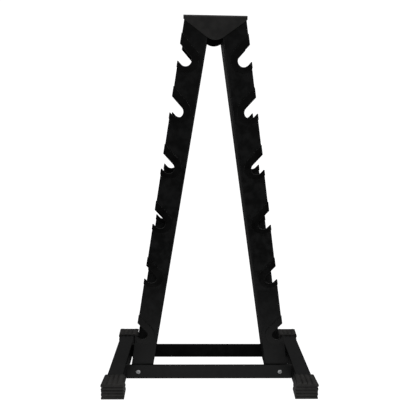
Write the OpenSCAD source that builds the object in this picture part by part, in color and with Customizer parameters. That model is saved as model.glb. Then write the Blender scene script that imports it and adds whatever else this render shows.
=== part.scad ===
/* [Overall] */
// Height of the finished rack, floor to the top of the cap
overall_h = 1103.5; // [1100:0.5:1120]
// Width across the foot caps
overall_w = 658; // [654:1:700]
// Depth of the base, front foot cap to rear foot cap
overall_d = 319; // [300:1:360]

/* [Uprights] */
// Sideways distance from the centre to an upright's outer edge at floor level
upright_foot_x = 261.8; // [258:0.2:262]
// Sideways lean of an upright for each millimetre of height
lean_run = 0.164; // [0.16:0.001:0.166]
// Level width of an upright's front and rear flange
flange_w = 70.2; // [66:0.1:72]
// Outside depth of the folded channel, front flange to rear flange
channel_d = 114; // [100:1:124]
// Thickness of the folded steel sheet
sheet_t = 2; // [1.5:0.5:2.5]
// Outside radius of a sheet bend
bend_r = 4; // [3:0.5:5]
// Gap between the channel's lower end and the floor
upright_foot_gap = 6; // [4:1:10]

/* [Dumbbell seats] */
// Height of the lowest seat's centre
seat_1_z = 161; // [150:1:170]
// Rise from the first seat to the second
rise_1 = 194; // [150:0.5:195]
// Rise from the second seat to the third
rise_2 = 175.5; // [150:0.5:180]
// Rise from the third seat to the fourth
rise_3 = 165.5; // [150:0.5:170]
// Rise from the fourth seat to the fifth
rise_4 = 157.5; // [140:0.5:160]
// Rise from the fifth seat to the sixth
rise_5 = 136.5; // [125:0.5:138]
// Radius of the finished round seat, inside its liner
seat_r = 16.4; // [13:0.1:17]
// Level distance from an upright's outer edge to the seat's centre
seat_inset = 20.2; // [19:0.1:23]
// Slope of the slot that leads down to the seat, in degrees above level
slot_angle = 48; // [46:0.5:50]

/* [Seat liners] */
// Thickness of the liner's wall inside the notch
liner_wall = 2; // [1.5:0.1:2.5]
// Thickness of the liner's plates on each side of the flange
liner_plate = 1.8; // [1.2:0.1:2.2]
// Width of the plate above the slot
liner_band_top = 22; // [18:0.5:24]
// Width of the plate below the slot
liner_band_low = 14; // [12:0.5:16]
// How far the liner stands out past the flange's outer edge
liner_rim = 1.5; // [1:0.1:3]

/* [Top cap] */
// Width of the folded cap
cap_w = 170; // [168:0.5:172]
// Height of the cap's straight sides
cap_side_h = 11; // [8:1:14]
// Height of the cap's apron, top to the rounded tip
apron_h = 62; // [56:0.5:66]
// Radius of the apron's tip
apron_tip_r = 38; // [20:1:42]
// Outside radius of the bends along the cap's front and rear edges
cap_bend_r = 6; // [4:0.5:8]

/* [Base] */
// Width and height of the square side tubes
tube_w = 50; // [48:1:50]
// Wall of the side tubes
tube_wall = 2; // [1.5:0.5:3]
// Outside corner radius of the side tubes
tube_r = 3; // [3:0.5:5]
// Height of the tubes and rails above the floor
base_lift = 3.5; // [3:0.5:4]
// Thickness of the flat front and rear rails
rail_t = 4; // [3:0.5:6]

/* [Foot caps] */
// Width of a foot cap
foot_w = 67; // [64:0.5:68]
// Height of a foot cap
foot_h = 58; // [57:0.5:59]
// Length of a foot cap along the tube
foot_l = 45; // [40:1:52]
// Thickness of a foot cap's closed end
foot_end_t = 5; // [4:0.5:7]
// Distance between neighbouring ribs
rib_pitch = 15; // [13:0.5:15]
// Distance between neighbouring ribs on the closed end
end_rib_pitch = 11; // [10:0.5:11.5]

/* [Bolts] */
// Sideways distance from the centre to a bolt
bolt_x = 231.5; // [225:0.5:235]
// Diameter of the button head
bolt_head_d = 14; // [13:0.5:16]
// Height of the button head
bolt_head_h = 4.4; // [3.6:0.1:5]

/* [Hidden] */
$fn = 64;
TIERS = 6;
lean = atan(lean_run);
flange_u = flange_w * cos(lean);
face_y = channel_d / 2;
upright_top_gap = 3;
// Spare length that is cut off level at both ends of an upright
trim = 50;
// Space between moulded liner and notch, and between thread and nut
slip = 0.1;
seat_z = [
    seat_1_z,
    seat_1_z + rise_1,
    seat_1_z + rise_1 + rise_2,
    seat_1_z + rise_1 + rise_2 + rise_3,
    seat_1_z + rise_1 + rise_2 + rise_3 + rise_4,
    seat_1_z + rise_1 + rise_2 + rise_3 + rise_4 + rise_5
];
notch_r = seat_r + liner_wall + slip;
slot_len = 120;
liner_mid_r = seat_r + (liner_band_top + liner_band_low) / 2;
liner_shift = (liner_band_top - liner_band_low) / 2;
lip_tip_r = 2.5;
brow_tip_r = 2;
tube_x = overall_w / 2 - foot_w / 2;
tube_len = overall_d - 2 * foot_end_t;
rail_z = base_lift + tube_w / 2;
rail_len = 2 * (tube_x - tube_w / 2);
bolt_d = 8;
bolt_play = 0.6;
thread_end = 1.2;
tube_inner_r = tube_r - tube_wall + 0.5;
groove_r = 3.2;
groove_depth = 2.4;
side_groove_depth = 1.5;
low_groove_depth = 1.2;
foot_corner_r = 5;
washer_t = 1.6;
washer_d = 16;
nut_h = 6.8;
nut_flats = 13;
bolt_hole_d = bolt_d + bolt_play;
bolt_len = rail_t + sheet_t + washer_t + nut_h + thread_end;
socket_flats = 5;
socket_depth = 2.6;
far = 2000;
steel = "#232324";
moulded = "#1b1b1c";
zinc = "#a9abac";

SIDES = ["left", "right"];
FACES = ["front", "rear"];
FOOT_NAMES = [for (f = FACES, s = SIDES) str("foot_cap_", f, "_", s)];
LINER_NAMES = [for (s = SIDES, f = FACES, t = [1 : TIERS]) str("liner_", s, "_", f, "_", t)];
BOLT_NAMES = [for (part = ["bolt", "washer", "nut"], f = FACES, s = SIDES) str(part, "_", f, "_", s)];

// Level position of an upright's outer edge at height z, right-hand side
function edge_x(z) = upright_foot_x - lean_run * z;
function seat_x(t) = edge_x(seat_z[t - 1]) - seat_inset;
function unit(a) = [cos(a), sin(a)];
// Where the line through p along angle a meets the liner's outer rim line
function rim_hit(p, a) =
    let (s = (upright_foot_x + liner_rim - lean_run * p[1] - p[0]) / (cos(a) + lean_run * sin(a)))
    p + s * unit(a);

// Copies a right-hand child to the named side
module on_side(side) {
    if (side == "right") children();
    else mirror([1, 0, 0]) children();
}

// Copies a front child to the named face
module on_face(face) {
    if (face == "front") children();
    else mirror([0, 1, 0]) children();
}

// Stands a flat shape drawn in x and z up at depth y0, with thickness t towards the rear
module plate_at(y0, t) {
    translate([0, y0 + t, 0]) rotate([90, 0, 0]) linear_extrude(t) children();
}

// Takes the sharp corner at p off a flat shape, between edges leaving at angles a and b
module corner_cut(p, a, b, r) {
    half = (b - a) / 2;
    mid = a + half;
    centre = p + r / sin(half) * unit(mid);
    reach = r / tan(half);
    difference() {
        polygon([p - unit(mid), p + reach * unit(a) - unit(a + 90), centre, p + reach * unit(b) + unit(b + 90)]);
        translate(centre) circle(r);
    }
}

// Flat shape of a slot with a round lower end, half-width r, moved sideways by shift
module slot_shape(t, r, shift = 0) {
    translate([seat_x(t), seat_z[t - 1]]) rotate(slot_angle) {
        translate([0, shift]) circle(r);
        translate([0, shift - r]) square([slot_len, 2 * r]);
    }
}

// Everything inside the line that leans parallel to an upright's outer edge
module inside_edge(out) {
    polygon([
        [0, 0],
        [upright_foot_x + out, 0],
        [upright_foot_x + out - lean_run * overall_h, overall_h],
        [0, overall_h]
    ]);
}

// Flat shape of a liner's plate
module liner_shape(t) {
    centre = [seat_x(t), seat_z[t - 1]];
    low_edge = centre + seat_r * unit(slot_angle - 90);
    top_edge = centre + seat_r * unit(slot_angle + 90);
    lip = rim_hit(low_edge, slot_angle);
    brow = rim_hit(top_edge, slot_angle);
    difference() {
        intersection() {
            slot_shape(t, liner_mid_r, liner_shift);
            inside_edge(liner_rim);
        }
        slot_shape(t, seat_r);
        corner_cut(lip, slot_angle - 180, lean - 90, lip_tip_r);
        corner_cut(brow, 90 + lean, slot_angle + 180, brow_tip_r);
    }
}

// Moulded liner clipped over a flange's edge: outer plate, inner plate and the wall between them
module liner(t) {
    color(moulded) {
        plate_at(-face_y - liner_plate, liner_plate) liner_shape(t);
        plate_at(-face_y, sheet_t) intersection() {
            liner_shape(t);
            union() {
                slot_shape(t, notch_r - slip);
                difference() {
                    inside_edge(liner_rim);
                    inside_edge(0);
                }
            }
        }
        plate_at(-face_y + sheet_t, liner_plate) liner_shape(t);
    }
}

// Folded cross-section of an upright, drawn in u across the flange and v front to rear
module channel_section() {
    difference() {
        union() {
            translate([bend_r, -face_y]) square([flange_u - bend_r, channel_d]);
            translate([0, bend_r - face_y]) square([bend_r, channel_d - 2 * bend_r]);
            for (v = [-1, 1]) translate([bend_r, v * (face_y - bend_r)]) circle(bend_r);
        }
        translate([bend_r, sheet_t - face_y]) square([far, channel_d - 2 * sheet_t]);
        translate([sheet_t, bend_r - face_y]) square([far, channel_d - 2 * bend_r]);
        for (v = [-1, 1]) translate([bend_r, v * (face_y - bend_r)]) circle(bend_r - sheet_t);
    }
}

module upright() {
    top_z = overall_h - sheet_t - upright_top_gap;
    color(steel) difference() {
        intersection() {
            translate([upright_foot_x - flange_w, 0, 0]) rotate([0, -lean, 0])
                translate([0, 0, -trim]) linear_extrude(overall_h + 3 * trim) channel_section();
            translate([0, -channel_d, upright_foot_gap])
                cube([far, 2 * channel_d, top_z - upright_foot_gap]);
        }
        for (t = [1 : TIERS]) plate_at(-channel_d, 2 * channel_d) slot_shape(t, notch_r);
        bolt_bore();
    }
}

// Bore for the front and rear bolts
module bolt_bore() {
    translate([bolt_x, channel_d, rail_z]) rotate([90, 0, 0]) cylinder(d = bolt_hole_d, h = 2 * channel_d);
}

// Flat outline of the cap's apron, an upside-down triangle with a rounded tip
module apron_shape() {
    side_z = overall_h - cap_side_h;
    tip_z = overall_h - apron_h;
    to_centre = [cap_w / 2, side_z - tip_z - apron_tip_r];
    edge_angle = atan2(to_centre[1], to_centre[0]) + asin(apron_tip_r / norm(to_centre));
    apex = [0, side_z - cap_w / 2 * tan(edge_angle)];
    difference() {
        polygon([
            [-cap_w / 2, overall_h + 1], [-cap_w / 2, side_z], apex,
            [cap_w / 2, side_z], [cap_w / 2, overall_h + 1]
        ]);
        corner_cut(apex, edge_angle, 180 - edge_angle, apron_tip_r);
    }
}

module top_cap() {
    out_y = face_y + sheet_t;
    roof_z = overall_h - cap_bend_r;
    color(steel) intersection() {
        plate_at(-2 * channel_d, 4 * channel_d) apron_shape();
        translate([-cap_w, 0, 0]) rotate([90, 0, 90]) linear_extrude(2 * cap_w) difference() {
            union() {
                translate([-out_y, overall_h - 2 * apron_h]) square([2 * out_y, 2 * apron_h - cap_bend_r]);
                translate([cap_bend_r - out_y, roof_z]) square([2 * (out_y - cap_bend_r), cap_bend_r]);
                for (v = [-1, 1]) translate([v * (out_y - cap_bend_r), roof_z]) circle(cap_bend_r);
            }
            translate([-face_y, 0]) square([channel_d, roof_z]);
            translate([cap_bend_r - out_y, 0]) square([2 * (out_y - cap_bend_r), overall_h - sheet_t]);
            for (v = [-1, 1]) translate([v * (out_y - cap_bend_r), roof_z]) circle(cap_bend_r - sheet_t);
        }
    }
}

module front_rail() {
    color(steel) difference() {
        translate([-rail_len / 2, -face_y - rail_t, base_lift]) cube([rail_len, rail_t, tube_w]);
        bolt_bore();
        mirror([1, 0, 0]) bolt_bore();
    }
}

// Flat square with rounded corners, centred
module rounded_square(w, h, r) {
    square([w - 2 * r, h], center = true);
    square([w, h - 2 * r], center = true);
    for (x = [-1, 1], z = [-1, 1]) translate([x * (w / 2 - r), z * (h / 2 - r)]) circle(r);
}

module side_tube() {
    color(steel) translate([tube_x, tube_len / 2, rail_z]) rotate([90, 0, 0]) linear_extrude(tube_len)
        difference() {
            rounded_square(tube_w, tube_w, tube_r);
            rounded_square(tube_w - 2 * tube_wall, tube_w - 2 * tube_wall, tube_inner_r);
        }
}

// Flat outline of a foot cap with its grooves, centred on the cap
module foot_shape() {
    difference() {
        rounded_square(foot_w, foot_h, foot_corner_r);
        for (i = [-1 : 1]) {
            translate([i * rib_pitch, foot_h / 2 + groove_r - groove_depth]) circle(groove_r);
            translate([i * rib_pitch, -foot_h / 2 - groove_r + low_groove_depth]) circle(groove_r);
            for (x = [-1, 1]) translate([x * (foot_w / 2 + groove_r - side_groove_depth), i * rib_pitch])
                circle(groove_r);
        }
    }
}

// Moulded sleeve over a tube's end, with grooves on its walls and its closed end
module foot_cap() {
    end_y = -overall_d / 2;
    color(moulded) difference() {
        translate([tube_x, end_y + foot_l, foot_h / 2]) rotate([90, 0, 0]) linear_extrude(foot_l) foot_shape();
        translate([tube_x, end_y + foot_l + 1, rail_z]) rotate([90, 0, 0])
            linear_extrude(foot_l - foot_end_t + 1) rounded_square(tube_w, tube_w, tube_r);
        for (i = [-1.5 : 1.5])
            translate([tube_x - foot_w, end_y - groove_r + groove_depth, foot_h / 2 + i * end_rib_pitch])
                rotate([0, 90, 0]) cylinder(r = groove_r, h = 2 * foot_w);
    }
}

// Button-head bolt with a hexagon socket, head on the rail's outer face
module bolt() {
    head_y = -face_y - rail_t;
    crown_r = (pow(bolt_head_d / 2, 2) + pow(bolt_head_h, 2)) / (2 * bolt_head_h);
    color(zinc) translate([bolt_x, head_y, rail_z]) rotate([90, 0, 0]) difference() {
        union() {
            intersection() {
                cylinder(d = bolt_head_d, h = bolt_head_h);
                translate([0, 0, bolt_head_h - crown_r]) sphere(crown_r);
            }
            translate([0, 0, -bolt_len]) cylinder(d = bolt_d, h = bolt_len + 0.5);
        }
        translate([0, 0, bolt_head_h - socket_depth])
            cylinder(d = socket_flats / cos(30), h = socket_depth + 1, $fn = 6);
    }
}

module washer() {
    color(zinc) translate([bolt_x, washer_t + sheet_t - face_y, rail_z]) rotate([90, 0, 0]) difference() {
        cylinder(d = washer_d, h = washer_t);
        translate([0, 0, -1]) cylinder(d = bolt_hole_d, h = washer_t + 2);
    }
}

module nut() {
    color(zinc) translate([bolt_x, nut_h + washer_t + sheet_t - face_y, rail_z]) rotate([90, 0, 0])
        difference() {
            cylinder(d = nut_flats / cos(30), h = nut_h, $fn = 6);
            translate([0, 0, -1]) cylinder(d = bolt_d + slip, h = nut_h + 2);
        }
}

on_side("left") upright();  // upright_left
on_side("right") upright();  // upright_right
top_cap();
front_rail();
on_face("rear") front_rail();  // rear_rail
on_side("left") side_tube();  // side_tube_left
on_side("right") side_tube();  // side_tube_right
for (f = FACES, s = SIDES) {
    on_face(f) on_side(s) foot_cap();
    on_face(f) on_side(s) bolt();
    on_face(f) on_side(s) washer();
    on_face(f) on_side(s) nut();
}
for (s = SIDES, f = FACES, t = [1 : TIERS])
    on_side(s) on_face(f) liner(t);
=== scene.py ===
import math

import bmesh
import bpy
from mathutils import Matrix, Vector


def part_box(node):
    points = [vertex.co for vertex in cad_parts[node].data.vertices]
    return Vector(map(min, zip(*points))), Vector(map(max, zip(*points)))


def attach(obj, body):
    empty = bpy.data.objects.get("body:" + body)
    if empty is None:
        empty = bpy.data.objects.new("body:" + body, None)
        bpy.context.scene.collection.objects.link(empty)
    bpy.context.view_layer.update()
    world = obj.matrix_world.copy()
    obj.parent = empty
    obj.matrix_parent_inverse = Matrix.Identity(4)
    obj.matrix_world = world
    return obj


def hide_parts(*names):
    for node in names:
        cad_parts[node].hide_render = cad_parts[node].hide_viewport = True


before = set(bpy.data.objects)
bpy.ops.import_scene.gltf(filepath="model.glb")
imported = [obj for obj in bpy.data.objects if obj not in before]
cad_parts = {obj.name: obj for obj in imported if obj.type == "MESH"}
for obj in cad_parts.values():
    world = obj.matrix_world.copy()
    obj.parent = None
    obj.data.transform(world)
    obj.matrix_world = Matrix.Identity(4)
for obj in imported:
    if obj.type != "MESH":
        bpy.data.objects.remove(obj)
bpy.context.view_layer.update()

MM = 0.001
BODY = "root"
SIDES = ("left", "right")
FACES = ("front", "rear")
TIERS = range(1, 7)

# Driving sizes that the frame's boxes don't say
LEAN_RUN = 0.164
SLOT_ANGLE = math.radians(48)
SHEET = 2 * MM
FLANGE_W = 70.2 * MM
BEND_R = 4 * MM
CUT_EDGE_R = 0.45 * MM
SEAT_R = 16.4 * MM
LINER_WALL = 2 * MM
LINER_PLATE = 1.8 * MM
BAND_TOP = 22 * MM
BAND_LOW = 14 * MM
LINER_RIM = 1.5 * MM
LINER_EDGE_R = 0.3 * MM
BRIM_R = 1.1 * MM
LIP_R = 1.5 * MM
BROW_R = 2 * MM
NOTCH_TIP_R = 1.5 * MM
CAP_SIDE = 11 * MM
CAP_BEND_R = 6 * MM
APRON_TIP_R = 38 * MM
TUBE_WALL = 2 * MM
TUBE_R = 3 * MM
BOLT_D = 8 * MM
BOLT_PLAY = 0.3 * MM
BOLT_TIP = 0.9 * MM
THREAD_PITCH = 1.25 * MM
THREAD_DEEP = 0.55 * MM
PLAIN_SHANK = 4 * MM
HEAD_EDGE_IN = 0.3 * MM
HEAD_EDGE_UP = 0.4 * MM
SOCKET_FLATS = 5 * MM
SOCKET_DEEP = 2.6 * MM
SOCKET_LEAD_IN = 0.4 * MM
SOCKET_CHAMFER = 0.3 * MM
WASHER_EDGE = 0.25 * MM
NUT_SINK = 0.5 * MM
NUT_PLAY = 0.05 * MM
NUT_CHAMFER = 0.8 * MM
NUT_CHAMFER_SIZE = 0.97

# The foot caps: four lobes a side with these valleys between them, and five lobes across the end
FOOT_VALLEYS = {"under": 1.2 * MM, "outer": 1.8 * MM, "top": 3.4 * MM, "inner": 1.8 * MM}
SIDE_LOBE_PITCH = 15 * MM
END_LOBE_PITCH = 11 * MM
END_LOBE_R = 5.9 * MM
END_LOBES = 5
END_LOBE_STEPS = 8
FOOT_CORNER_R = 5 * MM
FOOT_EDGE_R = 0.7 * MM
FOOT_END = 5 * MM
FOOT_FLARE_END = 0.03
FOOT_FLARE_MOUTH = -0.04
FOOT_FLARE_LOW = 0.025

# The finishes: sizes of the tone patches and of the lightened edges, which are rubbed wear and a painted
# highlight, and the grain's height
TONE_PATCH = 22 * MM
WEAR_AND_SHEEN_WIDTH = 1.2 * MM
WEAR_AND_SHEEN_BREAK_UP = 7 * MM
GRAIN_DEEP = 0.1 * MM

# The camera, at chest height and looking a little down
CAMERA_PLACE = (-0.041, -1.203, 0.859)
CAMERA_TURN = math.radians(-1.43)
CAMERA_DOWN = math.radians(13.75)
CAMERA_ROLL = math.radians(0.85)
CAMERA_LENS = 34.615
CAMERA_SENSOR = 36

# The room and the floor: their brightness, and how far the floor reaches
ROOM_LEVEL = 0.085
ROOM_TOP = 0.25
ROOM_REAR = 0.03
FLOOR_REACH = 12
FLOOR_NEAR = 0.33
FLOOR_FAR = 0.02
FLOOR_UNDER = 0.12
SEEN_WHITE = 1.1

# Anything closer than this is at the same place, and any flatter edge is shaded smooth
CLOSE = 0.01 * MM
SMOOTH_BELOW = math.radians(40)

# Worked out from those and from the frame
LEAN = math.atan(LEAN_RUN)
UP_SLOT = Vector((math.cos(SLOT_ANGLE), math.sin(SLOT_ANGLE)))
ACROSS_SLOT = Vector((-math.sin(SLOT_ANGLE), math.cos(SLOT_ANGLE)))
BAND_R = SEAT_R + (BAND_TOP + BAND_LOW) / 2
BAND_SHIFT = (BAND_TOP - BAND_LOW) / 2
NOTCH_R = SEAT_R + LINER_WALL
UPRIGHT_LOW, UPRIGHT_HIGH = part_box("upright_right")
FACE_Y = UPRIGHT_HIGH.y
BOLT_HOLE_R = BOLT_D / 2 + BOLT_PLAY
EDGE_AT_FLOOR = UPRIGHT_HIGH.x + LEAN_RUN * UPRIGHT_LOW.z


# ---- drawing tools ------------------------------------------------------------------------------

class Pen:
    """Draws a flat outline that stands in x and z at one depth, as straight lines and arcs."""

    def __init__(self, bm, start, y):
        self.bm = bm
        self.y = y
        known = isinstance(start, bmesh.types.BMVert)
        self.start = start if known else bm.verts.new((start[0], y, start[1]))
        self.tip = self.start
        self.edges = []

    def place(self):
        return Vector((self.tip.co.x, self.tip.co.z))

    def line(self, point):
        made = bmesh.ops.extrude_vert_indiv(self.bm, verts=[self.tip])
        self.tip = made["verts"][0]
        self.tip.co = (point[0], self.y, point[1])
        self.edges += made["edges"]

    def arc(self, centre, degrees, steps=24):
        known = set(self.bm.edges)
        made = bmesh.ops.spin(
            self.bm, geom=[self.tip], cent=(centre[0], self.y, centre[1]), axis=(0, -1, 0),
            angle=math.radians(degrees), steps=steps, use_merge=False)
        self.tip = next(g for g in made["geom_last"] if isinstance(g, bmesh.types.BMVert))
        self.edges += [e for e in self.bm.edges if e not in known]

    def rounded(self, corner, onward, radius, steps=6):
        """Goes to a corner and round it, ready to go on towards the next point."""
        back = (self.place() - corner).normalized()
        ahead = (onward - corner).normalized()
        half = back.angle(ahead) / 2
        self.line(corner + back * radius / math.tan(half))
        centre = corner + (back + ahead).normalized() * radius / math.sin(half)
        turn = math.copysign(180 - 2 * math.degrees(half), ahead.cross(back))
        self.arc(centre, turn, steps)

    def bulge(self, point, rise, steps=8):
        """Goes to a point in an arc that stands out to the right of the straight way."""
        start = self.place()
        chord = point - start
        half = chord.length / 2
        radius = (half ** 2 + rise ** 2) / (2 * rise)
        inward = Vector((-chord.y, chord.x)).normalized()
        centre = (start + point) / 2 + inward * (radius - rise)
        self.arc(centre, 2 * math.degrees(math.asin(half / radius)), steps)

    def join(self, vert):
        self.edges.append(self.bm.edges.new((self.tip, vert)))
        return self.edges

    def close(self):
        return self.join(self.start)


def verts_of(geom):
    return [g for g in geom if isinstance(g, bmesh.types.BMVert)]


def edges_of(geom):
    return [g for g in geom if isinstance(g, bmesh.types.BMEdge)]


def faces_of(geom):
    return [g for g in geom if isinstance(g, bmesh.types.BMFace)]


def all_of(bm):
    return bm.verts[:] + bm.edges[:] + bm.faces[:]


def lies_at(part, y):
    """Whether an edge or a face lies at that depth."""
    return all(abs(vert.co.y - y) < CLOSE for vert in part.verts)


def fill(bm, edges):
    return faces_of(bmesh.ops.contextual_create(bm, geom=edges)["faces"])[0]


def push(bm, geom, offset):
    """Extrudes faces by an offset and returns what the extrusion made."""
    made = bmesh.ops.extrude_face_region(bm, geom=geom)["geom"]
    bmesh.ops.translate(bm, vec=offset, verts=verts_of(made))
    return made


def draw_out(bm, edges, offset):
    """Extrudes edges into walls by an offset and returns the far edges."""
    made = bmesh.ops.extrude_edge_only(bm, edges=edges)["geom"]
    bmesh.ops.translate(bm, vec=offset, verts=verts_of(made))
    far = set(verts_of(made))
    return [e for e in edges_of(made) if set(e.verts) <= far]


def cut(bm, geom, place, facing, clear=None):
    """Cuts geometry at a plane, and clears what is in front of it or behind it if asked."""
    bmesh.ops.bisect_plane(
        bm, geom=geom, dist=CLOSE / 10, plane_co=place, plane_no=facing,
        clear_outer=clear == "front", clear_inner=clear == "behind")


def tidy(bm):
    """Merges doubles and turns every face outwards."""
    bmesh.ops.remove_doubles(bm, verts=bm.verts, dist=CLOSE)
    bmesh.ops.recalc_face_normals(bm, faces=bm.faces)


def soften(bm, radius, segments=2, sharper_than=30, edges=None):
    """Rounds the sharp edges of bm, or those of some of its edges."""
    limit = math.radians(sharper_than)
    sharp = [e for e in edges or bm.edges if e.is_manifold and e.calc_face_angle() > limit]
    bmesh.ops.bevel(
        bm, geom=sharp, offset=radius, offset_type="OFFSET", segments=segments, profile=0.5,
        affect="EDGES", clamp_overlap=True, material=-1)


def mirrored(bm, axis):
    """Turns bm into its mirror image along an axis."""
    factors = [-1 if axis == name else 1 for name in "xyz"]
    bmesh.ops.scale(bm, vec=factors, verts=bm.verts)
    bmesh.ops.reverse_faces(bm, faces=bm.faces)


def put_on(bm, side=None, face=None):
    """Moves what was made at the right and at the front to its own side and face."""
    if side == "left":
        mirrored(bm, "x")
    if face == "rear":
        mirrored(bm, "y")


def finished(name, bm, node_name, material):
    """Makes bm a piece that rides on the rack and stands for a node of the frame."""
    for face in bm.faces:
        face.smooth = True
    for edge in bm.edges:
        edge.smooth = not edge.is_manifold or edge.calc_face_angle() < SMOOTH_BELOW
    mesh = bpy.data.meshes.new(name)
    bm.to_mesh(mesh)
    bm.free()
    mesh.materials.append(material)
    piece = bpy.data.objects.new(name, mesh)
    bpy.context.scene.collection.objects.link(piece)
    normals = piece.modifiers.new("even_normals", "WEIGHTED_NORMAL")
    normals.keep_sharp = True
    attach(piece, BODY)
    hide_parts(node_name)
    return piece


# ---- materials ----------------------------------------------------------------------------------

def node(tree, kind, settings=None, **inputs):
    """Adds a node. An input given as a socket is linked and any other is set."""
    made = tree.nodes.new(kind)
    for name, value in (settings or {}).items():
        setattr(made, name, value)
    for name, value in inputs.items():
        index = int(name[1:]) if name[0] == "i" and name[1:].isdigit() else name.replace("_", " ")
        if isinstance(value, bpy.types.NodeSocket):
            tree.links.new(value, made.inputs[index])
        else:
            made.inputs[index].default_value = value
    return made


def maths(tree, operation, first, second):
    return node(tree, "ShaderNodeMath", {"operation": operation}, i0=first, i1=second).outputs[0]


def between(tree, value, low, high, to_low=0.0, to_high=1.0):
    """Maps a value from one range to another, smoothly and without going past the ends."""
    settings = {"interpolation_type": "SMOOTHSTEP"}
    made = node(
        tree, "ShaderNodeMapRange", settings, Value=value, From_Min=low, From_Max=high,
        To_Min=to_low, To_Max=to_high)
    return made.outputs["Result"]


def new_group(name, inputs, outputs):
    """A shader node group with named float inputs and outputs."""
    tree = bpy.data.node_groups.new(name, "ShaderNodeTree")
    for socket, default in inputs.items():
        made = tree.interface.new_socket(socket, in_out="INPUT", socket_type="NodeSocketFloat")
        made.default_value = default
    for socket in outputs:
        tree.interface.new_socket(socket, in_out="OUTPUT", socket_type="NodeSocketFloat")
    return tree, tree.nodes.new("NodeGroupInput").outputs, tree.nodes.new("NodeGroupOutput").inputs


def grain_group():
    """Fine bumps and slow tone changes, both at sizes given in metres."""
    tree, given, result = new_group(
        "grain", {"Grain Size": 1 * MM, "Patch Size": 60 * MM, "Roughness": 0.6}, ["Height", "Tone"])
    place = node(tree, "ShaderNodeTexCoord").outputs["Object"]
    fine_scale = maths(tree, "DIVIDE", 1.0, given["Grain Size"])
    fine = node(
        tree, "ShaderNodeTexNoise", Vector=place, Scale=fine_scale, Detail=3.0,
        Roughness=given["Roughness"])
    patch_scale = maths(tree, "DIVIDE", 1.0, given["Patch Size"])
    patch = node(tree, "ShaderNodeTexNoise", Vector=place, Scale=patch_scale, Detail=4.0, Roughness=0.55)
    tree.links.new(fine.outputs["Fac"], result["Height"])
    tree.links.new(between(tree, patch.outputs["Fac"], 0.3, 0.7), result["Tone"])
    return tree


def wear_and_sheen_group():
    """A mask of the outer edges, for rubbed wear and for a painted highlight along them, broken up by
    noise.
    """
    tree, given, result = new_group(
        "wear_and_sheen_edges", {"Width": 1 * MM, "Break Up Size": 8 * MM, "Amount": 0.5}, ["Mask"])
    rounded = node(tree, "ShaderNodeBevel", {"samples": 4}, Radius=given["Width"]).outputs["Normal"]
    flat = node(tree, "ShaderNodeNewGeometry").outputs["Normal"]
    settings = {"operation": "DOT_PRODUCT"}
    turn = node(tree, "ShaderNodeVectorMath", settings, i0=rounded, i1=flat).outputs["Value"]
    edge = between(tree, turn, 0.97, 0.8)
    place = node(tree, "ShaderNodeTexCoord").outputs["Object"]
    scale = maths(tree, "DIVIDE", 1.0, given["Break Up Size"])
    noise = node(tree, "ShaderNodeTexNoise", Vector=place, Scale=scale, Detail=5.0, Roughness=0.65)
    gaps = between(tree, noise.outputs["Fac"], 0.25, 0.55, 0.3, 1.0)
    broken = maths(tree, "MULTIPLY", edge, gaps)
    tree.links.new(maths(tree, "MULTIPLY", broken, given["Amount"]), result["Mask"])
    return tree


GRAIN = grain_group()
WEAR_AND_SHEEN_EDGES = wear_and_sheen_group()


def place_group(tree, group, **inputs):
    return node(tree, "ShaderNodeGroup", {"node_tree": group}, **inputs).outputs


def mix_colour(tree, mask, first, second):
    settings = {"data_type": "RGBA"}
    made = node(tree, "ShaderNodeMix", settings, i0=mask, i6=first, i7=second)
    return made.outputs[2]


def grey(value, warmth=0.0):
    """A grey of that linear value, slightly warm or cool."""
    return (value * (1 + warmth), value, value * (1 - warmth), 1.0)


def coated(name, dark, light, worn_and_sheen_colour, grain_size, bump, rough, shine, wear_and_sheen_amount, metallic=0.0):
    """A finish with grain, slow changes of tone and gloss, and edges lightened both as rubbed wear and
    as a painted highlight.
    """
    material = bpy.data.materials.new(name)
    material.use_nodes = True
    tree = material.node_tree
    tree.nodes.clear()
    grain = place_group(tree, GRAIN, Grain_Size=grain_size, Patch_Size=TONE_PATCH)
    edges = place_group(
        tree, WEAR_AND_SHEEN_EDGES, Width=WEAR_AND_SHEEN_WIDTH, Break_Up_Size=WEAR_AND_SHEEN_BREAK_UP, Amount=wear_and_sheen_amount)["Mask"]
    colour = mix_colour(tree, grain["Tone"], dark, light)
    colour = mix_colour(tree, edges, colour, worn_and_sheen_colour)
    roughness = between(tree, grain["Tone"], 0.0, 1.0, rough[0], rough[1])
    surface = node(
        tree, "ShaderNodeBump", Strength=bump, Distance=GRAIN_DEEP, Height=grain["Height"])
    shader = node(
        tree, "ShaderNodeBsdfPrincipled", Base_Color=colour, Roughness=roughness,
        Normal=surface.outputs["Normal"], Metallic=metallic, Specular_IOR_Level=shine)
    output = node(tree, "ShaderNodeOutputMaterial")
    tree.links.new(shader.outputs["BSDF"], output.inputs["Surface"])
    return material


# Each finish's edge colour is partly rubbed wear and partly a painted highlight along the edges.
POWDER_COAT = coated(
    "powder_coat", dark=grey(0.003, -0.05), light=grey(0.013, -0.03), worn_and_sheen_colour=grey(0.03),
    grain_size=1.1 * MM, bump=0.35, rough=(0.38, 0.54), shine=0.42, wear_and_sheen_amount=0.3)
CAP_COAT = coated(
    "cap_powder_coat", dark=grey(0.04, 0.02), light=grey(0.06, 0.03), worn_and_sheen_colour=grey(0.075),
    grain_size=1.1 * MM, bump=0.35, rough=(0.36, 0.46), shine=0.6, wear_and_sheen_amount=0.3)
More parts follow.
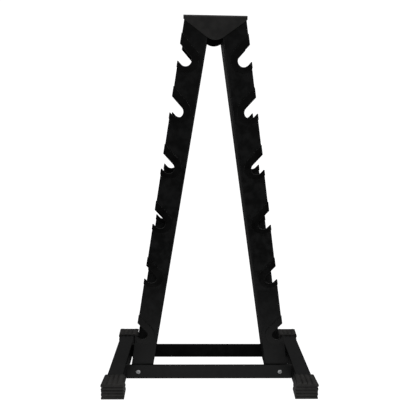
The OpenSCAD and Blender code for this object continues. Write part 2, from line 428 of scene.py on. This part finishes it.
# On the liners the pale edge colour is a painted highlight, a bright line along every rim edge of the
# clip.
LINER_PLASTIC = coated(
    "liner_plastic", dark=grey(0.002), light=grey(0.005, -0.02), worn_and_sheen_colour=grey(0.14),
    grain_size=0.5 * MM, bump=0.12, rough=(0.26, 0.36), shine=0.45, wear_and_sheen_amount=0.7)
FOOT_PLASTIC = coated(
    "foot_plastic", dark=grey(0.032, 0.04), light=grey(0.055, 0.05), worn_and_sheen_colour=grey(0.07),
    grain_size=0.7 * MM, bump=0.4, rough=(0.5, 0.66), shine=0.4, wear_and_sheen_amount=0.2)
ZINC = coated(
    "zinc_plate", dark=grey(0.85), light=grey(0.98, -0.02), worn_and_sheen_colour=grey(0.98),
    grain_size=0.4 * MM, bump=0.2, rough=(0.35, 0.5), shine=0.5, wear_and_sheen_amount=0.3, metallic=0.3)


# ---- the folded steel ---------------------------------------------------------------------------

def edge_x(z, out=0.0):
    """Level place of the right-hand upright's outer edge at height z, or of a line out past it."""
    return EDGE_AT_FLOOR + out - LEAN_RUN * z


def seat_centre(tier):
    """Centre of a right-hand seat in x and z, worked out from its liner's box."""
    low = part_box(f"liner_right_front_{tier}")[0]
    band_centre = Vector((low.x + BAND_R, low.z + BAND_R))
    return band_centre - BAND_SHIFT * ACROSS_SLOT


def slot_to_edge(point, out=0.0):
    """Where the line through point, up the slot, meets the upright's outer edge or a line past it."""
    gap = edge_x(point.y, out) - point.x
    return point + gap / (UP_SLOT.x + LEAN_RUN * UP_SLOT.y) * UP_SLOT


def bolt_place():
    """Where the right-hand bolts stand in x and z."""
    low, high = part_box("bolt_front_right")
    return Vector(((low.x + high.x) / 2, (low.z + high.z) / 2))


def bolt_hole(bm, y, side=1):
    """The rim of a bolt hole, as a ring of edges."""
    place = bolt_place()
    stand = Matrix.Translation((side * place.x, y, place.y)) @ Matrix.Rotation(math.pi / 2, 4, "X")
    made = bmesh.ops.create_circle(bm, segments=24, radius=BOLT_HOLE_R, matrix=stand)
    return list({e for v in made["verts"] for e in v.link_edges})


def fold_over(bm, edge, centre, axis, steps):
    """Bends the sheet a quarter turn from an edge and carries it on to the middle of the rack."""
    bent = bmesh.ops.spin(
        bm, geom=[edge, *edge.verts], cent=centre, axis=axis, angle=math.radians(-90), steps=steps,
        use_merge=False)["geom_last"]
    for vert in verts_of(bmesh.ops.extrude_edge_only(bm, edges=edges_of(bent))["geom"]):
        vert.co.y = 0


def thickened(bm):
    """Mirrors half a folded sheet to the rear, gives it its thickness and rounds its cut edges."""
    bmesh.ops.mirror(bm, geom=all_of(bm), axis="Y", merge_dist=CLOSE)
    tidy(bm)
    bmesh.ops.solidify(bm, geom=bm.faces[:], thickness=SHEET)
    tidy(bm)
    soften(bm, CUT_EDGE_R, sharper_than=50)


def upright(side):
    """A folded channel: a notched flange, a bend and half the web, mirrored to the rear."""
    bm = bmesh.new()
    spare = 20 * MM
    low, high = UPRIGHT_LOW.z - spare, UPRIGHT_HIGH.z + spare
    pen = Pen(bm, (edge_x(low), low), -FACE_Y)
    for tier in TIERS:
        centre = seat_centre(tier)
        lower, upper = centre - NOTCH_R * ACROSS_SLOT, centre + NOTCH_R * ACROSS_SLOT
        pen.rounded(slot_to_edge(lower), lower, NOTCH_TIP_R)
        pen.line(lower)
        pen.arc(centre, -180)
        pen.line(slot_to_edge(upper))
    pen.line((edge_x(high), high))
    fold = BEND_R / math.cos(LEAN) - FLANGE_W
    pen.line((edge_x(high, fold), high))
    fold_top = pen.tip
    pen.line((edge_x(low, fold), low))
    fold_low = pen.tip
    outline = pen.close()
    fold_edge = next(e for e in fold_top.link_edges if e.other_vert(fold_top) == fold_low)
    rim = bolt_hole(bm, -FACE_Y)
    bmesh.ops.triangle_fill(bm, edges=outline + rim, use_beauty=True, use_dissolve=False)
    along = Vector((-LEAN_RUN, 0, 1)).normalized()
    fold_over(bm, fold_edge, fold_low.co + Vector((0, BEND_R, 0)), along, 5)
    cut(bm, all_of(bm), (0, 0, UPRIGHT_HIGH.z), (0, 0, 1), "front")
    cut(bm, all_of(bm), (0, 0, UPRIGHT_LOW.z), (0, 0, 1), "behind")
    thickened(bm)
    put_on(bm, side)
    return finished(f"{side}_upright_channel", bm, f"upright_{side}", POWDER_COAT)


def top_cap():
    """A folded cap: a pointed apron, a bend and half the roof, mirrored to the rear."""
    bm = bmesh.new()
    low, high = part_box("top_cap")
    half, side_z, fold_z = high.x, high.z - CAP_SIDE, high.z - CAP_BEND_R
    rise = side_z - low.z - APRON_TIP_R
    slope = math.atan2(rise, half) + math.asin(APRON_TIP_R / math.hypot(half, rise))
    apex = Vector((0, side_z - half * math.tan(slope)))
    pen = Pen(bm, (-half, fold_z), low.y)
    pen.line((-half, side_z))
    pen.rounded(apex, Vector((half, side_z)), APRON_TIP_R, 16)
    pen.line((half, side_z))
    pen.line((half, fold_z))
    outline = pen.close()
    fold_edge = outline[-1]
    fill(bm, outline)
    fold_over(bm, fold_edge, (0, low.y + CAP_BEND_R, fold_z), (1, 0, 0), 6)
    thickened(bm)
    return finished("folded_top_cap", bm, "top_cap", CAP_COAT)


def rail(face):
    """A flat bar with a bolt hole near each end."""
    bm = bmesh.new()
    low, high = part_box("front_rail")
    pen = Pen(bm, (low.x, low.z), low.y)
    for corner in ((high.x, low.z), (high.x, high.z), (low.x, high.z)):
        pen.line(corner)
    rims = bolt_hole(bm, low.y) + bolt_hole(bm, low.y, -1)
    bmesh.ops.triangle_fill(bm, edges=pen.close() + rims, use_beauty=True, use_dissolve=False)
    push(bm, bm.faces[:], (0, high.y - low.y, 0))
    tidy(bm)
    soften(bm, CUT_EDGE_R, sharper_than=50)
    put_on(bm, face=face)
    return finished(f"{face}_rail_bar", bm, f"{face}_rail", POWDER_COAT)


def side_tube(side):
    """A square tube with round corners, open at both ends."""
    bm = bmesh.new()
    low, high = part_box("side_tube_right")
    bmesh.ops.create_cube(bm, size=1)
    bmesh.ops.scale(bm, vec=high - low, verts=bm.verts)
    bmesh.ops.translate(bm, vec=(low + high) / 2, verts=bm.verts)
    long_edges = [e for e in bm.edges if not lies_at(e, low.y) and not lies_at(e, high.y)]
    bmesh.ops.bevel(
        bm, geom=long_edges, offset=TUBE_R, offset_type="OFFSET", segments=5, profile=0.5,
        affect="EDGES", clamp_overlap=True, material=-1)
    ends = [f for f in bm.faces if lies_at(f, low.y) or lies_at(f, high.y)]
    bmesh.ops.delete(bm, geom=ends, context="FACES")
    bmesh.ops.recalc_face_normals(bm, faces=bm.faces)
    bmesh.ops.solidify(bm, geom=bm.faces[:], thickness=TUBE_WALL)
    tidy(bm)
    soften(bm, CUT_EDGE_R, sharper_than=50)
    put_on(bm, side)
    return finished(f"{side}_square_tube", bm, f"side_tube_{side}", POWDER_COAT)


# ---- the moulded parts --------------------------------------------------------------------------

def liner(side, face, tier):
    """A moulded clip: one plate and half the slot's wall, mirrored about the middle of the sheet."""
    bm = bmesh.new()
    centre = seat_centre(tier)
    band_centre = centre + BAND_SHIFT * ACROSS_SLOT
    band_low, band_top = band_centre - BAND_R * ACROSS_SLOT, band_centre + BAND_R * ACROSS_SLOT
    notch_low, notch_top = centre - NOTCH_R * ACROSS_SLOT, centre + NOTCH_R * ACROSS_SLOT
    seat_low, seat_top = centre - SEAT_R * ACROSS_SLOT, centre + SEAT_R * ACROSS_SLOT
    depth = -SHEET / 2
    pen = Pen(bm, slot_to_edge(band_low), depth)
    pen.line(band_low)
    pen.arc(band_centre, -180)
    pen.line(slot_to_edge(band_top))
    plate_edges, top_of_plate = pen.edges[:], pen.tip
    pen.line(slot_to_edge(band_top, LINER_RIM))
    pen.rounded(slot_to_edge(seat_top, LINER_RIM), seat_top, BROW_R)
    pen.line(seat_top)
    pen.arc(centre, 180)
    lip = slot_to_edge(seat_low, LINER_RIM)
    rim_foot = slot_to_edge(band_low, LINER_RIM)
    pen.rounded(lip, rim_foot, LIP_R)
    pen.line(rim_foot)
    wall_edges = pen.close()[len(plate_edges):]
    inner = Pen(bm, pen.start, depth)
    inner.rounded(slot_to_edge(notch_low), notch_low, NOTCH_TIP_R)
    inner.line(notch_low)
    inner.arc(centre, -180)
    inner.line(slot_to_edge(notch_top))
    shared = inner.join(top_of_plate)
    fill(bm, plate_edges + shared)
    wall = fill(bm, wall_edges + shared)
    push(bm, bm.faces[:], (0, -LINER_PLATE, 0))
    caps = faces_of(push(bm, [wall], (0, SHEET / 2, 0)))
    bmesh.ops.delete(bm, geom=caps, context="FACES_ONLY")
    bmesh.ops.mirror(bm, geom=all_of(bm), axis="Y", merge_dist=CLOSE)
    tidy(bm)
    brim = SHEET / 2 + LINER_PLATE
    brim_edges = [e for e in bm.edges if lies_at(e, brim) or lies_at(e, -brim)]
    soften(bm, BRIM_R, segments=3, sharper_than=40, edges=brim_edges)
    soften(bm, LINER_EDGE_R, sharper_than=40)
    bmesh.ops.translate(bm, vec=(0, SHEET / 2 - FACE_Y, 0), verts=bm.verts)
    put_on(bm, side, face)
    name = f"{side}_{face}_slot_liner_{tier}"
    return finished(name, bm, f"liner_{side}_{face}_{tier}", LINER_PLASTIC)


def foot_outline(bm, y):
    """A rounded square whose four sides each have four lobes, drawn round the right-hand tube."""
    low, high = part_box("foot_cap_front_right")
    middle = Vector(((low.x + high.x) / 2, (low.z + high.z) / 2))
    reach = (high.z - low.z) / 2, (high.x - low.x) / 2
    pen = None
    for quarter, valley in enumerate(FOOT_VALLEYS.values()):
        turn = math.radians(90 * quarter)
        along = Vector((math.cos(turn), math.sin(turn)))
        out = Vector((along.y, -along.x))
        edge = middle + out * reach[quarter % 2]
        half = reach[(quarter + 1) % 2]
        if pen is None:
            pen = Pen(bm, edge - along * (half - FOOT_CORNER_R), y)
        for step in (-1, 0, 1):
            rise = valley / 2 if step < 0 else valley
            pen.bulge(edge + along * step * SIDE_LOBE_PITCH - out * valley, rise)
        pen.bulge(edge + along * (half - FOOT_CORNER_R), valley / 2)
        pen.arc(edge + along * (half - FOOT_CORNER_R) - out * FOOT_CORNER_R, 90, 5)
    bmesh.ops.weld_verts(bm, targetmap={pen.tip: pen.start})
    return bm.edges[:]


def flare(bm, low, high):
    """Widens a foot cap towards its closed end and its underside, and narrows its mouth."""
    middle = (low + high) / 2
    for vert in bm.verts:
        widening = FOOT_FLARE_END if vert.co.y < middle.y else FOOT_FLARE_MOUTH
        widening += FOOT_FLARE_LOW * (middle.z - vert.co.z) / (high.z - low.z)
        vert.co.x += widening * (vert.co.x - middle.x)


def lobe_end(bm, y, middle_z):
    """Cuts the flat end at depth y into strips and bows them back into level lobes."""
    reach = END_LOBES * END_LOBE_STEPS // 2
    for level in range(-reach, reach + 1):
        end = [f for f in bm.faces if lies_at(f, y)]
        geom = list({part for f in end for part in (f, *f.edges, *f.verts)})
        cut(bm, geom, (0, 0, middle_z + level * END_LOBE_PITCH / END_LOBE_STEPS), (0, 0, 1))
    last = END_LOBES // 2
    for vert in bm.verts:
        if abs(vert.co.y - y) < CLOSE:
            height = vert.co.z - middle_z
            lobe = max(-last, min(last, round(height / END_LOBE_PITCH)))
            off = height - lobe * END_LOBE_PITCH
            vert.co.y += END_LOBE_R - math.sqrt(max(END_LOBE_R ** 2 - off ** 2, 0))


def foot_cap(side, face):
    """A moulded sleeve with lobed walls and a lobed end, open for the tube."""
    bm = bmesh.new()
    low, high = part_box("foot_cap_front_right")
    tube_low, tube_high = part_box("side_tube_right")
    fill(bm, draw_out(bm, foot_outline(bm, high.y), (0, low.y - high.y, 0)))
    flare(bm, low, high)
    lobe_end(bm, low.y, (low.z + high.z) / 2)
    socket = Pen(bm, ((tube_low.x + tube_high.x) / 2, tube_low.z), high.y)
    corners = [
        Vector((tube_high.x, tube_low.z)), Vector((tube_high.x, tube_high.z)),
        Vector((tube_low.x, tube_high.z)), Vector((tube_low.x, tube_low.z))]
    for here, onward in zip(corners, corners[1:] + corners[:1]):
        socket.rounded(here, onward, TUBE_R, 4)
    rim = socket.close()
    mouth = [e for e in bm.edges if lies_at(e, high.y)]
    bmesh.ops.triangle_fill(bm, edges=mouth, use_beauty=True, use_dissolve=False)
    fill(bm, draw_out(bm, rim, (0, low.y + FOOT_END - high.y, 0)))
    tidy(bm)
    soften(bm, FOOT_EDGE_R, sharper_than=38)
    put_on(bm, side, face)
    name = f"{face}_{side}_ribbed_foot"
    return finished(name, bm, f"foot_cap_{face}_{side}", FOOT_PLASTIC)


# ---- the fixings --------------------------------------------------------------------------------

def turned(bm, profile, segments=32):
    """Spins a profile of radius and height round the upright axis."""
    pen = Pen(bm, profile[0], 0)
    for point in profile[1:]:
        pen.line(point)
    bmesh.ops.spin(
        bm, geom=pen.edges + bm.verts[:], cent=(0, 0, 0), axis=(0, 0, 1), angle=math.tau,
        steps=segments, use_merge=True)
    bmesh.ops.remove_doubles(bm, verts=bm.verts, dist=CLOSE / 2)


def fixed_in_place(name, bm, base_y, side, face, kind):
    """Lays a fixing down along y at its bolt hole, base at base_y and top to the front."""
    place = bolt_place()
    stand = Matrix.Translation((place.x, base_y, place.y)) @ Matrix.Rotation(math.pi / 2, 4, "X")
    bmesh.ops.transform(bm, matrix=stand, verts=bm.verts)
    tidy(bm)
    put_on(bm, side, face)
    return finished(f"{face}_{side}_{name}", bm, f"{kind}_{face}_{side}", ZINC)


def hexagon(bm, flats, z):
    """A ring of six edges at height z."""
    made = bmesh.ops.create_circle(
        bm, segments=6, radius=flats / 2 / math.cos(math.pi / 6), matrix=Matrix.Translation((0, 0, z)))
    return list({e for v in made["verts"] for e in v.link_edges})


def bolt(side, face):
    """A button head with a hexagon socket, on a threaded shank."""
    bm = bmesh.new()
    low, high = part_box("bolt_front_right")
    rail_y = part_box("front_rail")[0].y
    head_r, head_h, shank = (high.x - low.x) / 2, rail_y - low.y, high.y - rail_y
    dome_r = (head_r ** 2 + head_h ** 2) / (2 * head_h)
    mouth = SOCKET_FLATS / 2 / math.cos(math.pi / 6) + SOCKET_LEAD_IN
    profile = [(BOLT_D / 2 - BOLT_TIP, -shank)]
    turns = int((shank - PLAIN_SHANK) / THREAD_PITCH)
    for step in range(turns):
        z = -shank + (step + 0.8) * THREAD_PITCH
        profile += [(BOLT_D / 2, z), (BOLT_D / 2 - THREAD_DEEP, z + THREAD_PITCH / 2)]
    profile += [(BOLT_D / 2, z + THREAD_PITCH), (BOLT_D / 2, 0)]
    profile += [(head_r - HEAD_EDGE_IN, 0), (head_r, HEAD_EDGE_UP)]
    dome_steps = 8
    for step in range(1, dome_steps + 1):
        r = head_r + (mouth - head_r) * step / dome_steps
        profile.append((r, head_h - dome_r + math.sqrt(dome_r ** 2 - r ** 2)))
    turned(bm, profile)
    rings = [e for e in bm.edges if e.is_boundary]
    tip = [e for e in rings if e.verts[0].co.z < 0]
    crown = [e for e in rings if e.verts[0].co.z > 0]
    fill(bm, tip)
    socket = hexagon(bm, SOCKET_FLATS, crown[0].verts[0].co.z - SOCKET_CHAMFER)
    bmesh.ops.bridge_loops(bm, edges=crown + socket)
    fill(bm, draw_out(bm, socket, (0, 0, -SOCKET_DEEP)))
    return fixed_in_place("button_bolt", bm, rail_y, side, face, "bolt")


def washer(side, face):
    """A flat ring with broken edges."""
    bm = bmesh.new()
    low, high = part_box("washer_front_right")
    outer, thick = (high.x - low.x) / 2, high.y - low.y
    flat = outer - WASHER_EDGE
    profile = [
        (BOLT_HOLE_R, 0), (flat, 0), (outer, WASHER_EDGE), (outer, thick - WASHER_EDGE), (flat, thick),
        (BOLT_HOLE_R, thick), (BOLT_HOLE_R, 0)]
    turned(bm, profile)
    return fixed_in_place("flat_washer", bm, high.y, side, face, "washer")


def open_ring(bm, z):
    """The edges of the open ring at height z."""
    return [e for e in bm.edges if e.is_boundary and abs(e.verts[0].co.z - z) < CLOSE]


def nut(side, face):
    """A hexagon nut with chamfered corners and a countersunk bore."""
    bm = bmesh.new()
    low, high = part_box("nut_front_right")
    flats, tall, bore = high.z - low.z, high.y - low.y, BOLT_D / 2 + NUT_PLAY
    sunk = bore + NUT_SINK
    turned(bm, [(sunk, 0), (bore, NUT_SINK), (bore, tall - NUT_SINK), (sunk, tall)])
    for z in (0, tall):
        bmesh.ops.bridge_loops(bm, edges=open_ring(bm, z) + hexagon(bm, flats * NUT_CHAMFER_SIZE, z))
    for z, lift in ((0, NUT_CHAMFER), (tall, -NUT_CHAMFER)):
        wide = list({v for e in draw_out(bm, open_ring(bm, z), (0, 0, lift)) for v in e.verts})
        bmesh.ops.scale(bm, vec=(1 / NUT_CHAMFER_SIZE, 1 / NUT_CHAMFER_SIZE, 1), verts=wide)
    bmesh.ops.bridge_loops(bm, edges=[e for e in bm.edges if e.is_boundary])
    return fixed_in_place("hexagon_nut", bm, high.y, side, face, "nut")


# ---- the studio ---------------------------------------------------------------------------------

def soft_light(name, place, target, size, power):
    """A softbox that looks at a point."""
    lamp = bpy.data.lights.new(name, "AREA")
    lamp.shape = "RECTANGLE"
    lamp.size, lamp.size_y = size
    lamp.energy = power
    light = bpy.data.objects.new(name, lamp)
    light.location = place
    light.rotation_euler = (Vector(target) - Vector(place)).to_track_quat("-Z", "Y").to_euler()
    bpy.context.scene.collection.objects.link(light)


def camera():
    """Looks at the front of the rack."""
    data = bpy.data.cameras.new("camera")
    data.sensor_width = CAMERA_SENSOR
    data.lens = CAMERA_LENS
    made = bpy.data.objects.new("camera", data)
    turn = Matrix.Rotation(CAMERA_TURN, 4, "Z")
    tilt = Matrix.Rotation(math.pi / 2 - CAMERA_DOWN, 4, "X")
    roll = Matrix.Rotation(CAMERA_ROLL, 4, "Z")
    made.matrix_world = Matrix.Translation(CAMERA_PLACE) @ turn @ tilt @ roll
    bpy.context.scene.collection.objects.link(made)
    bpy.context.scene.camera = made


def white_to_the_eye(tree, dim):
    """A strength that is white where the camera looks straight at it, and dim to everything else."""
    seen = node(tree, "ShaderNodeLightPath").outputs["Is Camera Ray"]
    settings = {"data_type": "FLOAT"}
    return node(tree, "ShaderNodeMix", settings, i0=seen, i2=dim, i3=SEEN_WHITE).outputs[0]


def room():
    """White to the eye, and a dim soft room to the steel, brightest overhead."""
    world = bpy.data.worlds.new("studio")
    bpy.context.scene.world = world
    world.use_nodes = True
    tree = world.node_tree
    direction = node(tree, "ShaderNodeTexCoord").outputs["Generated"]
    parts = node(tree, "ShaderNodeSeparateXYZ", Vector=direction).outputs
    overhead = between(tree, parts["Z"], 0.35, 0.85, ROOM_LEVEL, ROOM_TOP)
    rearward = between(tree, parts["Y"], 0.2, 0.9, 0.0, ROOM_REAR)
    strength = white_to_the_eye(tree, maths(tree, "ADD", overhead, rearward))
    background = tree.nodes["Background"]
    background.inputs["Color"].default_value = (1, 1, 1, 1)
    tree.links.new(strength, background.inputs["Strength"])


def pale_floor():
    """A plain white floor that lights the rack's front from just before it."""
    bm = bmesh.new()
    bmesh.ops.create_grid(bm, x_segments=1, y_segments=1, size=FLOOR_REACH)
    mesh = bpy.data.meshes.new("floor")
    bm.to_mesh(mesh)
    bm.free()
    floor = bpy.data.objects.new("floor", mesh)
    bpy.context.scene.collection.objects.link(floor)
    material = bpy.data.materials.new("white_floor")
    material.use_nodes = True
    tree = material.node_tree
    shader = tree.nodes["Principled BSDF"]
    shader.inputs["Base Color"].default_value = (0.06, 0.06, 0.06, 1)
    shader.inputs["Roughness"].default_value = 0.9
    shader.inputs["Specular IOR Level"].default_value = 0.1
    shader.inputs["Emission Color"].default_value = (1, 1, 1, 1)
    place = node(tree, "ShaderNodeTexCoord").outputs["Object"]
    depth = node(tree, "ShaderNodeSeparateXYZ", Vector=place).outputs["Y"]
    near = between(tree, depth, -0.75, -0.2, FLOOR_FAR, FLOOR_NEAR)
    under = between(tree, depth, -0.1, 0.0, 1.0, FLOOR_UNDER)
    glow = maths(tree, "MULTIPLY", near, under)
    tree.links.new(white_to_the_eye(tree, glow), shader.inputs["Emission Strength"])
    mesh.materials.append(material)


# ---- the scene ----------------------------------------------------------------------------------

camera()
room()
pale_floor()
soft_light("overhead", place=(0, -0.2, 2.6), target=(0, 0, 0.5), size=(1.2, 0.5), power=2.2)
soft_light("front_left", place=(-1.8, -1.6, 0.7), target=(0, 0, 0.45), size=(0.8, 1.2), power=4)
soft_light("front_right", place=(1.8, -1.6, 0.7), target=(0, 0, 0.45), size=(0.8, 1.2), power=4)
soft_light("upper_left", place=(-1.4, -0.1, 2.0), target=(0, 0, 0.75), size=(0.45, 0.7), power=3.5)
soft_light("upper_right", place=(1.4, -0.1, 2.0), target=(0, 0, 0.75), size=(0.45, 0.7), power=5)

top_cap()
for side in SIDES:
    upright(side)
    side_tube(side)
for face in FACES:
    rail(face)
    for side in SIDES:
        foot_cap(side, face)
        bolt(side, face)
        washer(side, face)
        nut(side, face)
        for tier in TIERS:
            liner(side, face, tier)

bpy.context.scene.view_settings.view_transform = "Standard"
